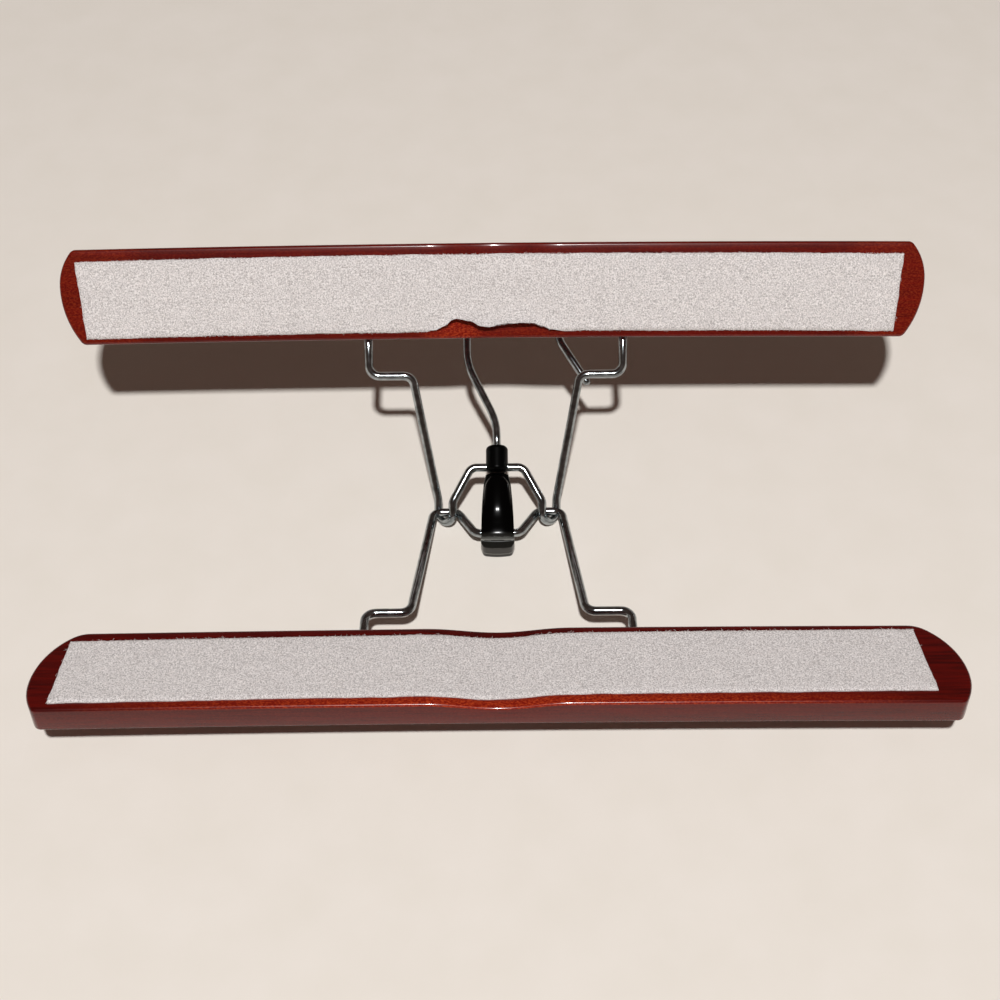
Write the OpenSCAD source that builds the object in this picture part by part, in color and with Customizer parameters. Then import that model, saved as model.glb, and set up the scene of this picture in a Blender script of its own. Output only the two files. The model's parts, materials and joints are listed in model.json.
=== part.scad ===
// Trouser hanger: two felt-lined wooden bars on interlocked wire bails,
// a lock lever that turns on the rear bail, and a swivelling hook.
// It lies open with the felt faces up. X runs along the bars, the front bar is at -Y.

/* [Bars] */
// Length of each bar
bar_l = 356; // [300:1:420]
// Height of each bar, measured away from the hinge
bar_h = 39; // [36:0.5:50]
// Thickness of each bar
bar_t = 11.5; // [10:0.5:14]
// Distance from the hinge axis to the near edge of each bar
bar_drop = 72.5; // [66:0.5:90]
// Radius of the bar ends on the side of the wires
end_r_near = 30; // [27:0.5:60]
// Radius of the bar ends on the outer side
end_r_far = 21; // [18:0.5:40]
// Share of the bar's height at which the ends stick out most
end_peak = 0.66; // [0.5:0.01:0.7]
// Rounding of the corners on the side of the wires
corner_near = 5; // [2:0.5:8]
// Rounding of the outer corners
corner_far = 3; // [1:0.5:5]
// Edge rounding on the felt side
edge_r = 1.2; // [0.5:0.1:2]
// Edge rounding on the back
back_r = 3; // [1:0.1:4.5]
// Depth of the hollow across the middle of the felt side
dip = 2.6; // [1:0.1:3]
// Length of the hollow
dip_l = 56; // [40:1:80]

/* [Felt] */
// Thickness of the felt
felt_t = 1.4; // [1:0.1:3]
// Height of each felt strip
felt_h = 31.5; // [24:0.5:34]
// Length of the front strip's edge nearest the wires
front_felt_l = 326; // [250:1:335]
// Length of the rear strip's edge nearest the wires
rear_felt_l = 333; // [250:1:335]
// How much longer the strips are at their outer edge
felt_flare = 7; // [0:0.5:10]
// Bare wood between the front strip and the edge nearest the wires
front_inset = 4.2; // [1.5:0.1:5]
// Bare wood between the rear strip and the edge nearest the wires
rear_inset = 2.4; // [1.5:0.1:5]
// How far both strips were glued off the middle
felt_shift = 2.3; // [0:0.1:4]
// How far the front strip was glued out of square, in degrees
felt_skew = 0.35; // [0:0.05:0.5]

/* [Bails] */
// Diameter of the bail wire
wire_d = 3.5; // [2.5:0.1:4]
// Distance from the centre to each wire end in a bar
entry_x = 53; // [48:0.5:70]
// Depth of the holes for the wire ends
entry_deep = 18; // [10:1:28]
// Length of straight wire between a bar and its jog
stub = 14.5; // [12:0.5:20]
// Distance from the centre to the top of each slanting arm
arm_x = 35; // [33:0.5:38]
// Radius of the bends at the jogs
jog_r = 4.5; // [3:0.5:6]
// Distance from the centre to the middle of each interlocked bend
ear_x = 22; // [20:0.5:26]
// Width of the rear bend, centre to centre
rear_ear_w = 6.3; // [5.5:0.1:7]
// Width of the front bend, centre to centre
front_ear_w = 10.2; // [9.8:0.1:12]
// Play between the interlocked wires
ear_play = 0.3; // [0.2:0.05:0.6]
// Distance from the hinge axis to the rear span
rear_span = 19; // [18:0.5:24]
// Distance from the hinge axis to the front span
front_span = 13; // [11:0.1:14]
// Distance from the centre to the rear span's bends
rear_span_x = 11; // [10:0.5:13]
// Distance from the centre to the front span's bends
front_span_x = 9.3; // [8.5:0.1:11]
// Radius of the bends beside the spans
span_r = 4; // [3:0.5:5]

/* [Lock lever] */
// Length of the lever from the pivot to its lip
lever_l = 35.5; // [33:0.5:44]
// Width of the lever at its shoulders
lever_w_near = 10.4; // [9:0.2:12]
// Width of the lever at its lip
lever_w_far = 13.6; // [11:0.2:15]
// Height of the lever's back above the pivot axis
lever_top = 4.6; // [4:0.1:6]
// Wall of the lever's hollow body
lever_wall = 1.5; // [1.2:0.1:2]
// Width of the neck between lever and collar
neck_w = 5.6; // [4.5:0.1:7]
// Length of the neck
neck_l = 1.6; // [1:0.1:3]
// Radial play of the collar on the rear span
pivot_play = 0.06; // [0.03:0.01:0.09]

/* [Collar and hook] */
// Diameter of the collar
collar_d = 9.2; // [8.8:0.1:11]
// Length of the collar above the pivot axis
collar_up = 8.8; // [8.5:0.1:13]
// Length of the collar below the pivot axis
collar_down = 2.4; // [2.2:0.1:3]
// Rounding of the collar's upper rim
collar_round = 1.6; // [0.5:0.1:2]
// Diameter of the hook wire
hook_d = 3.3; // [2.5:0.1:3.6]
// Radial play of the hook in the collar
hook_play = 0.05; // [0.03:0.01:0.09]
// Diameter of the head that holds the hook in the collar
head_d = 4.4; // [4.2:0.1:5]
// Length of that head
head_l = 1.6; // [1:0.1:2]
// Radius of the hook's loop
loop_r = 19.7; // [16:0.1:24]
// Distance from the pivot to the top of the loop
hook_reach = 78; // [74:0.5:95]
// How far the loop's inner side lies beyond the hook's axis
hook_left = 12.4; // [12:0.2:18]
// How far the tip flares out from the hook's axis
tip_x = 38.6; // [33:0.2:45]
// Distance from the pivot to the tip, along the hook
tip_y = 37.6; // [37:0.2:46]

/* [Pose] */
// Slope of the front half as it lies open, in degrees
front_tilt = 9.5; // [6:0.5:12]
// Slope of the rear half as it lies open, in degrees
rear_tilt = 47; // [40:0.5:50]
// Slope of the lever and hook as they lie, in degrees
lever_tilt = 21; // [20:0.5:22]

/* [Hidden] */
$fn = 96;
eps = 0.01;
wire_r = wire_d / 2;
hook_r = hook_d / 2;
// Rings in a full turn of a bend, and sides of a wire
ring_step = 15;
sides = 14;

// Radius at which the rear wire goes round the hinge axis, and the bend that does it
round_r = wire_d + ear_play;
ear_bend_r = norm([rear_ear_w, 2 * round_r]) / 2;
ear_v = ear_bend_r - round_r - ear_play;
ear_lean = 2 * round_r / norm([rear_ear_w, 2 * round_r]);
leg_v = 5;
front_ear_r = 4;

// The hinge axis lies so high that the rear bends touch the ground
hinge_z = wire_r - ear_v * sin(rear_tilt)
    + ear_bend_r * norm([sin(rear_tilt), ear_lean * cos(rear_tilt)]);
pivot_y = rear_span * cos(rear_tilt);
pivot_z = hinge_z + rear_span * sin(rear_tilt);

// Angle between the halves when the felts meet, and where the latch groove then lies
meet_v = bar_drop + min(front_inset, rear_inset);
closed_half = atan((bar_t / 2 + felt_t + 0.15) / meet_v);
latch_y = rear_span * cos(closed_half) - front_span * cos(closed_half);
latch_n = -(rear_span + front_span) * sin(closed_half);

// The hook's axis lies above the pivot axis, so that the latch groove fits below it
hook_n = 2;
collar_n = 1.2;
head_y = 4.2;
head_play = 0.2;
tip_r = 9;
lean_r = 16;

// The lip reaches down to the ground, and the sole lies just above the front span
lip_top = 5.4;
lip_len = 3.4;
lip_low = (lever_l - 1) * tan(lever_tilt) - pivot_z / cos(lever_tilt);
span_y = -front_span * cos(front_tilt) - pivot_y;
span_z = hinge_z + front_span * sin(front_tilt) - pivot_z;
sole = span_z * cos(lever_tilt) - span_y * sin(lever_tilt) + wire_r + 0.25;

// Middle of the box along Y, so that the part stands on its origin
front_y = (bar_drop + bar_h - back_r) * cos(front_tilt) + (bar_t / 2 - back_r) * sin(front_tilt)
    + back_r;
rear_y = pivot_y + hook_reach * cos(lever_tilt) - hook_n * sin(lever_tilt) + hook_r;
mid_y = (rear_y - front_y) / 2;

function unit(v) = v / norm(v);
function turn(p, i) = acos(min(1, unit(p[i] - p[i-1]) * unit(p[i+1] - p[i])));
function setback(p, r, i) = r[i] * tan(turn(p, i) / 2);

// Points and directions along a wire whose corners are rounded with arcs
function arc(p, r, i) =
    let (a = unit(p[i] - p[i-1]), b = unit(p[i+1] - p[i]),
         n = unit(cross(a, b)), s = cross(n, a),
         c = p[i] - a * setback(p, r, i) + s * r[i],
         q = turn(p, i), steps = max(1, ceil(q / ring_step)))
    [for (k = [0 : steps]) let (t = q * k / steps)
        [c - s * r[i] * cos(t) + a * r[i] * sin(t), a * cos(t) + s * sin(t)]];
function route(p, r) = concat(
    [[p[0], unit(p[1] - p[0])]],
    [for (i = [1 : len(p) - 2]) each arc(p, r, i)],
    [[p[len(p) - 1], unit(p[len(p) - 1] - p[len(p) - 2])]]);
function ring(q, rad) =
    let (x = unit(cross(q[1], [0, 0, 1])), y = cross(x, q[1]))
    [for (j = [0 : sides - 1]) q[0] + rad * (x * cos(360 * j / sides) + y * sin(360 * j / sides))];

// A round wire swept along a route, with an optional rounded far end
module sweep(path, rad, dome = false) {
    last = path[len(path) - 1];
    cap = dome ? [for (t = [30, 60, 80]) [[last[0] + last[1] * rad * sin(t), last[1]], rad * cos(t)]]
               : [];
    rings = concat([for (q = path) ring(q, rad)], [for (c = cap) ring(c[0], c[1])]);
    count = len(rings);
    polyhedron(
        points = [for (g = rings) each g],
        faces = concat(
            [[for (j = [sides - 1 : -1 : 0]) j]],
            [for (i = [0 : count - 2], j = [0 : sides - 1])
                let (a = i * sides + j, b = i * sides + (j + 1) % sides)
                each [[a, b, b + sides], [a, b + sides, a + sides]]],
            [[for (j = [0 : sides - 1]) (count - 1) * sides + j]]));
}

function mirrored(p) = [for (i = [len(p) - 1 : -1 : 0]) [-p[i][0], p[i][1], p[i][2]]];
function reversed(r) = [for (i = [len(r) - 1 : -1 : 0]) r[i]];

// Places a half: its own Y runs from the hinge axis to the bar, its Z out of the felt
module on_front() {
    translate([0, -mid_y, hinge_z]) rotate([-front_tilt, 0, 0]) rotate([0, 0, 180]) children();
}
module on_rear() {
    translate([0, -mid_y, hinge_z]) rotate([rear_tilt, 0, 0]) children();
}
// Places the lever: its own Y runs from the pivot to the hook, its Z out of its back
module on_lever() {
    translate([0, pivot_y - mid_y, pivot_z]) rotate([lever_tilt, 0, 0]) children();
}

function arc_points(c, r, from, to, steps) =
    [for (i = [0 : steps]) let (t = from + (to - from) * i / steps) c + r * [cos(t), sin(t)]];
// One corner of a bar and the arc of its end beyond it, from the straight edge to the peak
function end_half(depth, r, corner) =
    let (x = sqrt((r - corner) * (r - corner) - (depth - corner) * (depth - corner)),
         q = atan2(depth - corner, x))
    concat(arc_points([bar_l / 2 - r + x, corner - depth], corner, -90, -q, 5),
           arc_points([bar_l / 2 - r, 0], r, -q * 7 / 8, 0, 7));
// One end of a bar from its near edge round to its far edge
function end_points() =
    let (peak = bar_h * end_peak,
         near = end_half(peak, end_r_near, corner_near),
         far = end_half(bar_h - peak, end_r_far, corner_far))
    concat([for (p = near) p + [0, bar_drop + peak]],
           [for (i = [len(far) - 2 : -1 : 0]) [far[i][0], bar_drop + peak - far[i][1]]]);
module bar_outline() {
    right = end_points();
    polygon(concat(right, [for (i = [len(right) - 1 : -1 : 0]) [-right[i][0], right[i][1]]]));
}
// Section of a bar: small roundings on the felt side, larger ones on the back
module bar_section() {
    top = bar_t / 2 - edge_r;
    low = -bar_t / 2 + back_r;
    polygon(concat(
        arc_points([bar_h - edge_r, top], edge_r, 0, 90, 4),
        arc_points([edge_r, top], edge_r, 90, 180, 4),
        arc_points([back_r, low], back_r, 180, 270, 6),
        arc_points([bar_h - back_r, low], back_r, 270, 360, 6)));
}
module dip_roller(grow) {
    r = ((dip_l / 2) * (dip_l / 2) + dip * dip) / (2 * dip);
    translate([0, bar_drop - 1, bar_t / 2 - dip + r])
        rotate([-90, 0, 0]) cylinder(h = bar_h + 2, r = r - grow, $fn = 360);
}
module bar() {
    difference() {
        intersection() {
            translate([0, 0, -bar_t / 2]) linear_extrude(bar_t) bar_outline();
            translate([-bar_l / 2, bar_drop, 0])
                rotate([90, 0, 90]) linear_extrude(bar_l) bar_section();
        }
        dip_roller(0);
        for (s = [-1, 1]) translate([s * entry_x, bar_drop - eps, 0])
            rotate([-90, 0, 0]) cylinder(h = entry_deep + eps, r = wire_r);
    }
}
module felt_slab(near, v, low, high) {
    far = near + felt_flare;
    translate([0, 0, low]) linear_extrude(high - low)
        polygon([[-near / 2, v], [near / 2, v], [far / 2, v + felt_h], [-far / 2, v + felt_h]]);
}
module felt(near, inset, shift, skew) {
    v = bar_drop + inset;
    difference() {
        translate([shift, v + felt_h / 2, 0]) rotate([0, 0, skew]) translate([0, -v - felt_h / 2, 0])
            felt_slab(near, v, bar_t / 2 - dip - eps, bar_t / 2 + felt_t);
        difference() {
            translate([-bar_l / 2, bar_drop, bar_t / 2 - dip - 1]) cube([bar_l, bar_h, dip + 1]);
            dip_roller(0);
        }
        dip_roller(felt_t);
    }
}

module front_bar() { color([0.48, 0.09, 0.06]) on_front() bar(); }
module rear_bar() { color([0.48, 0.09, 0.06]) on_rear() bar(); }
module front_felt() { color([0.84, 0.82, 0.82]) on_front()
    felt(front_felt_l, front_inset, felt_shift, felt_skew); }
module rear_felt() { color([0.84, 0.82, 0.82]) on_rear()
    felt(rear_felt_l, rear_inset, -felt_shift, 0); }

// From the bar to the ear: straight end, jog, slanting arm
function bail_end(depth) = [[-entry_x, bar_drop + depth, 0],
                            [-entry_x, bar_drop - stub, 0],
                            [-arm_x, bar_drop - stub, 0]];
module front_bail() {
    half = concat(bail_end(entry_deep),
        [[-ear_x - front_ear_w / 2, 0, 0], [-ear_x + front_ear_w / 2, 0, 0],
         [-front_span_x, front_span, 0]]);
    radii = [0, jog_r, jog_r, front_ear_r, front_ear_r, span_r];
    color([0.8, 0.8, 0.82]) on_front()
        sweep(route(concat(half, mirrored(half)), concat(radii, reversed(radii))), wire_r);
}
module rear_bail() {
    bend_r = ear_bend_r - 0.02;
    half = concat(bail_end(entry_deep),
        [[-ear_x - rear_ear_w / 2, leg_v, -round_r],
         [-ear_x - rear_ear_w / 2, ear_v - ear_bend_r, -round_r],
         [-ear_x + rear_ear_w / 2, ear_v - ear_bend_r, round_r],
         [-ear_x + rear_ear_w / 2, leg_v, round_r],
         [-rear_span_x, rear_span, 0]]);
    radii = [0, jog_r, jog_r, jog_r, bend_r, bend_r, jog_r, span_r];
    color([0.8, 0.8, 0.82]) on_rear()
        sweep(route(concat(half, mirrored(half)), concat(radii, reversed(radii))), wire_r);
}

// Lever seen from its back, and its side profile with the raised finger lip
module lever_plan(inset) {
    near = lever_w_near / 2 - inset;
    far = lever_w_far / 2 - inset;
    corner = 2;
    start = -collar_down - neck_l;
    polygon([[-neck_w / 2 + inset, start], [neck_w / 2 - inset, start],
             [near, start - 2.2], [(near + far) / 2 + 0.3, -lever_l * 0.45],
             [far, -lever_l + corner], [-far, -lever_l + corner],
             [-(near + far) / 2 - 0.3, -lever_l * 0.45], [-near, start - 2.2]]);
    intersection() {
        translate([-far, -lever_l + inset]) square([2 * far, corner * 2]);
        union() {
            translate([-far + corner, -lever_l + inset]) square([2 * (far - corner), corner * 2]);
            for (s = [-1, 1]) translate([s * (far - corner), -lever_l + inset + corner]) circle(corner);
        }
    }
}
module lever_profile() {
    start = -collar_down - neck_l;
    polygon([[start, -2.6], [start, 3.2], [start - 2.4, lever_top], [-15, lever_top - 0.2],
             [-27, lever_top - 1.9], [-lever_l + lip_len + 2, lever_top - 2.2],
             [-lever_l + lip_len, lever_top - 1], [-lever_l + lip_len - 1.6, lip_top],
             [-lever_l + 0.8, lip_top - 0.3], [-lever_l, lip_low + 1.2], [-lever_l + 1, lip_low],
             [-lever_l + lip_len, lip_low + 0.4], [-lever_l + lip_len, sole], [-20, sole],
             [-10, -2.6]]);
}
module lock_lever() {
    dome_r = 9.4;
    color([0.03, 0.03, 0.035]) on_lever() {
        difference() {
            intersection() {
                translate([0, 0, -8]) linear_extrude(16) lever_plan(0);
                rotate([90, 0, 90]) translate([0, 0, -10]) linear_extrude(20) lever_profile();
                union() {
                    translate([0, 0, lever_top - dome_r]) rotate([90, 0, 0])
                        cylinder(h = lever_l + 1, r = dome_r);
                    translate([-10, -lever_l - 1, -8]) cube([20, lip_len + 3, 16]);
                }
            }
            translate([-lever_w_near / 2 + lever_wall, -lever_l + lip_len + lever_wall, -8])
                cube([lever_w_near - 2 * lever_wall, lever_l - lip_len - lever_wall - 7, 8 + lever_wall]);
        }
        translate([-neck_w / 2, -collar_down - neck_l - eps, -2.2])
            cube([neck_w, neck_l + eps, 5.4]);
        translate([-neck_w / 2 + 1, -collar_down - eps, 2.5]) cube([neck_w - 2, 4.6, 1.8]);
    }
}
module hook_collar() {
    r = collar_d / 2;
    color([0.05, 0.05, 0.05]) on_lever() difference() {
        translate([0, 0, collar_n]) rotate([-90, 0, 0]) rotate_extrude() {
            translate([0, -collar_down]) square([r, collar_down + collar_up - collar_round]);
            translate([0, -collar_down]) square([r - collar_round, collar_down + collar_up]);
            translate([r - collar_round, collar_up - collar_round]) circle(collar_round);
        }
        rotate([0, 90, 0]) cylinder(h = collar_d + 2, r = wire_r + pivot_play, center = true);
        translate([0, head_y, hook_n]) rotate([-90, 0, 0]) {
            cylinder(h = collar_up, r = hook_r + hook_play);
            cylinder(h = head_l + 2 * head_play, r = head_d / 2 + head_play);
        }
        hull() for (n = [latch_n, latch_n - 5]) translate([0, latch_y, n])
            rotate([0, 90, 0]) cylinder(h = collar_d + 2, r = wire_r + ear_play, center = true, $fn = 32);
        translate([-neck_w / 2 + 1, -collar_down - eps, 2.5]) cube([neck_w - 2, 4.6, 1.8]);
    }
}
module hook() {
    right = 2 * loop_r - hook_left;
    points = [[0, head_y + head_play, 0], [0, 19.5, 0], [-hook_left, 46, 0],
              [-hook_left, hook_reach, 0], [right, hook_reach, 0], [right, 57, 0],
              [tip_x, tip_y, 0]];
    radii = [0, lean_r, lean_r, loop_r - 0.02, loop_r - 0.02, tip_r, 0];
    color([0.8, 0.8, 0.82]) on_lever() translate([0, 0, hook_n]) {
        sweep(route(points, radii), hook_r, dome = true);
        translate([0, head_y + head_play, 0]) rotate([-90, 0, 0]) cylinder(h = head_l, d = head_d);
    }
}

front_bar();
rear_bar();
front_felt();
rear_felt();
front_bail();
rear_bail();
lock_lever();
hook_collar();
hook();
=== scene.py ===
# %% [markdown]
# Trouser hanger, seen lying open on a pale table.
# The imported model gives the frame: where each piece is, and what it moves with. This script
# makes the surfaces that are seen: lacquered wood, pressed felt, chromed wire and black plastic.

# %% Load the frame
import json
import math
import random

import bmesh
import bpy
from mathutils import Matrix, Vector, noise


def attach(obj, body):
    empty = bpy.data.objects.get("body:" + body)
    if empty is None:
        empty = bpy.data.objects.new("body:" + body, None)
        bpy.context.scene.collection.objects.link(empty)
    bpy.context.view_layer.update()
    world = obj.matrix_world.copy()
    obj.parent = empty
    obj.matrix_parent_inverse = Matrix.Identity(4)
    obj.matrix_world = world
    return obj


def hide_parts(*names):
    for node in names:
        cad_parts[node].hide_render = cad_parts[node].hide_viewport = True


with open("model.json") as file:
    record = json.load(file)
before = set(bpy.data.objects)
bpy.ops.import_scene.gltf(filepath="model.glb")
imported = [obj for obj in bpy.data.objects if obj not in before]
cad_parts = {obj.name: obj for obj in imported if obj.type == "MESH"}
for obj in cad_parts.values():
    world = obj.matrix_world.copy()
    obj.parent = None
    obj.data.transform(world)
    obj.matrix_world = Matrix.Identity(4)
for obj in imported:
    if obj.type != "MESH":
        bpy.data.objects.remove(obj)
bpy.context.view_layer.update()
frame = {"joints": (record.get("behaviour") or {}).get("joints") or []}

JOINTS = {joint["name"]: joint for joint in frame["joints"]}


# %% [markdown]
# The camera comes first. It stands about 0.7 m away and looks down at 52 degrees, a little
# rolled, with a normal lens. These values were found by matching the corners of both bars.

# %% Camera
PICTURE_W = 1000
SENSOR_MM = 36
CAM_FOCAL = 1621.1  # focal length in pixels of the picture
CAM_ELEVATION = 52.32
CAM_TURN = 0.126
CAM_ROLL = -0.691
CAM_DISTANCE = 0.6983
CAM_TARGET = Vector((0.00109, 0.02249, 0.0))


def make_camera():
    up, turn, roll = (math.radians(a) for a in (CAM_ELEVATION, CAM_TURN, CAM_ROLL))
    back = Vector((math.sin(turn) * math.cos(up), -math.cos(turn) * math.cos(up), math.sin(up)))
    right = Vector((math.cos(turn), math.sin(turn), 0))
    above = back.cross(right)
    x = right * math.cos(roll) + above * math.sin(roll)
    y = above * math.cos(roll) - right * math.sin(roll)
    camera = bpy.data.objects.new("camera", bpy.data.cameras.new("camera"))
    camera.data.sensor_width = SENSOR_MM
    camera.data.lens = SENSOR_MM * CAM_FOCAL / PICTURE_W
    camera.matrix_world = Matrix([(x[i], y[i], back[i], 0) for i in range(3)] + [(0, 0, 0, 1)])
    camera.location = CAM_TARGET + back * CAM_DISTANCE
    bpy.context.collection.objects.link(camera)
    bpy.context.scene.camera = camera


make_camera()
print("camera lens", bpy.context.scene.camera.data.lens)


# %% [markdown]
# The hanger has three places to build in: each half has its own flat, with Y running from the
# hinge axis to the bar and Z out of the felt, and the lever has one with Y along the hook.
# The joints of the frame say where these places are, so only the tilts are repeated here.

# %% Places
MM = 0.001
FRONT_TILT = 9.5
REAR_TILT = 47
LEVER_TILT = 21
HINGE = Vector(JOINTS["fold"]["pos_m"])
PIVOT = Vector(JOINTS["lever_turn"]["pos_m"])
ON_FRONT = (Matrix.Translation(HINGE) @ Matrix.Rotation(math.radians(-FRONT_TILT), 4, "X")
            @ Matrix.Rotation(math.pi, 4, "Z"))
ON_REAR = Matrix.Translation(HINGE) @ Matrix.Rotation(math.radians(REAR_TILT), 4, "X")
ON_LEVER = Matrix.Translation(PIVOT) @ Matrix.Rotation(math.radians(LEVER_TILT), 4, "X")
print("hinge", HINGE, "pivot", PIVOT)


# %% [markdown]
# Each piece is shaped flat and in millimetres, in its own place. It is then scaled to metres and
# moved into the frame with its mesh, so that the object itself stays at the origin, and it is
# told which body it rides on. A closed piece first has its doubled points merged and its faces
# turned outwards, and the node of the imported model that it stands for is hidden.

# %% Finish a piece
MERGE_MM = 1e-6


def put_in_place(bm, name, place, body, material):
    bmesh.ops.scale(bm, vec=Vector((MM, MM, MM)), verts=bm.verts)
    bmesh.ops.transform(bm, matrix=place, verts=bm.verts)
    mesh = bpy.data.meshes.new(name)
    bm.to_mesh(mesh)
    bm.free()
    piece = bpy.data.objects.new(name, mesh)
    bpy.context.collection.objects.link(piece)
    piece.data.materials.append(material)
    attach(piece, body)
    print(name, len(mesh.vertices), "points")
    return piece


def finish(bm, name, place, body, material, nodes, angle=None):
    bmesh.ops.remove_doubles(bm, verts=bm.verts, dist=MERGE_MM)
    bmesh.ops.recalc_face_normals(bm, faces=bm.faces)
    for face in bm.faces:
        face.smooth = True
    piece = put_in_place(bm, name, place, body, material)
    if angle:
        piece.data.set_sharp_from_angle(angle=math.radians(angle))
    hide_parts(*nodes)
    return piece


def clamp(value):
    return max(0, min(1, value))


def tapered(x, half, power):
    """Falls from 1 in the middle to 0 at distance half, the later the higher the power."""
    return max(0, 1 - abs(x / half) ** power)


print("a millimetre is", MM, "m")


# %% [markdown]
# Every material is a small network of nodes. Two helpers keep that short: one turns a hex colour
# as a designer writes it into linear light, the other adds a node with its settings and links.
# Patterns read Object coordinates, which are in metres, so a pattern's scale is 1000 divided by
# its size in millimetres.

# %% Material helpers
def linear(code):
    parts = [int(code[i:i + 2], 16) / 255 for i in (1, 3, 5)]
    light = [c / 12.92 if c <= 0.04045 else ((c + 0.055) / 1.055) ** 2.4 for c in parts]
    return (*light, 1)


def add(tree, kind, links=(), stops=(), **settings):
    """Adds a node. Settings that begin with in_ are sockets, and stops are a ramp's colours."""
    node = tree.nodes.new(kind)
    for key, value in settings.items():
        if key.startswith("in_"):
            node.inputs[key[3:].replace("_", " ")].default_value = value
        else:
            setattr(node, key, value)
    if stops:
        elements = node.color_ramp.elements
        while len(elements) < len(stops):
            elements.new(0.5)
        for element, (position, code) in zip(elements, stops):
            element.position = position
            element.color = linear(code)
    for source, target in links:
        tree.links.new(source, node.inputs[target])
    return node


def new_material(name, **settings):
    """A material with a shader of these settings, and the coordinates for its patterns."""
    material = bpy.data.materials.new(name)
    material.use_nodes = True
    tree = material.node_tree
    tree.nodes.clear()
    shader = add(tree, "ShaderNodeBsdfPrincipled", **settings)
    add(tree, "ShaderNodeOutputMaterial", [(shader.outputs[0], "Surface")])
    place = add(tree, "ShaderNodeTexCoord")
    return material, tree, shader, place.outputs["Object"]


# Sockets of a Mix node for colours, whose names are not unique
MIX_A, MIX_B, MIXED = 6, 7, 2
print("hex 808080 is", linear("#808080"))


# %% [markdown]
# The bars are hardwood, stained cherry red and lacquered until they shine. The stain sinks
# deeper into the open pores, so fine dark streaks run along the bar, and the lacquer on top
# gives one sharp reflection. Painted sheen turns the colour brighter red with short sparkle
# flecks where the lacquer catches the light. A map on the mesh says where that is.

# %% Wood
GRAIN_MM = 1.0  # real pores are 0.1 to 0.3 mm wide, too fine to show from here
STAIN_MM = 9.0
SPARKLE_MM = 0.5  # painted sparkle flecks are drawn about twice as coarse as they are
GRAIN_ALONG, SPARKLE_ALONG = 0.05, 0.55  # scale along the bar, so that both run lengthwise


def make_wood():
    material, tree, shader, place = new_material(
        "cherry stained hardwood under gloss lacquer", in_Roughness=0.24,
        in_Specular_IOR_Level=0.18, in_Coat_Weight=0.55, in_Coat_Roughness=0.12)
    stretch = add(tree, "ShaderNodeMapping", [(place, "Vector")],
                  in_Scale=(GRAIN_ALONG, 1.0, 1.0))
    pores = add(tree, "ShaderNodeTexNoise", [(stretch.outputs[0], "Vector")],
                in_Scale=1000 / GRAIN_MM, in_Detail=4.0, in_Roughness=0.6)
    broad = add(tree, "ShaderNodeTexNoise", [(stretch.outputs[0], "Vector")],
                in_Scale=1000 / STAIN_MM, in_Detail=3.0)
    stain = add(tree, "ShaderNodeValToRGB", [(broad.outputs["Fac"], "Fac")],
                stops=[(0.3, "#380404"), (0.7, "#560806")])
    streak = add(tree, "ShaderNodeValToRGB", [(pores.outputs["Fac"], "Fac")],
                 stops=[(0.36, "#2a0303"), (0.62, "#640d06")])
    dark = add(tree, "ShaderNodeMix", [(stain.outputs[0], MIX_A), (streak.outputs[0], MIX_B)],
               data_type="RGBA", in_Factor=0.4)
    # Painted sheen: brighter red with short sparkle flecks, where the lacquer catches the light
    short = add(tree, "ShaderNodeMapping", [(place, "Vector")], in_Scale=(SPARKLE_ALONG, 1.0, 1.0))
    sparkle = add(tree, "ShaderNodeTexNoise", [(short.outputs[0], "Vector")],
                 in_Scale=1000 / SPARKLE_MM, in_Detail=2.0)
    sheen_tone = add(tree, "ShaderNodeValToRGB", [(sparkle.outputs["Fac"], "Fac")],
               stops=[(0.42, "#7c1408"), (0.68, "#b8431f")])
    painted_sheen = add(tree, "ShaderNodeAttribute", attribute_name="painted_sheen")
    color = add(tree, "ShaderNodeMix", [(painted_sheen.outputs["Fac"], "Factor"),
                                        (dark.outputs[MIXED], MIX_A), (sheen_tone.outputs[0], MIX_B)],
                data_type="RGBA")
    tree.links.new(color.outputs[MIXED], shader.inputs["Base Color"])
    bump = add(tree, "ShaderNodeBump", [(pores.outputs["Fac"], "Height")],
               in_Strength=0.12, in_Distance=0.0002)
    tree.links.new(bump.outputs[0], shader.inputs["Normal"])
    return material


WOOD = make_wood()
print("wood ready")


# %% [markdown]
# The strips are pressed wool felt, white-grey, with loose fibres on top. Felt scatters light
# softly, so it has no gloss at all, and its fibres show as a fine uneven fleck, over broad faint
# clouds where it was pressed unevenly.

# %% Felt
FIBRE_MM = 0.55  # a wool fibre is 0.03 mm thick, so its fleck is drawn much coarser
CLOUD_MM = 7.0


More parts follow.
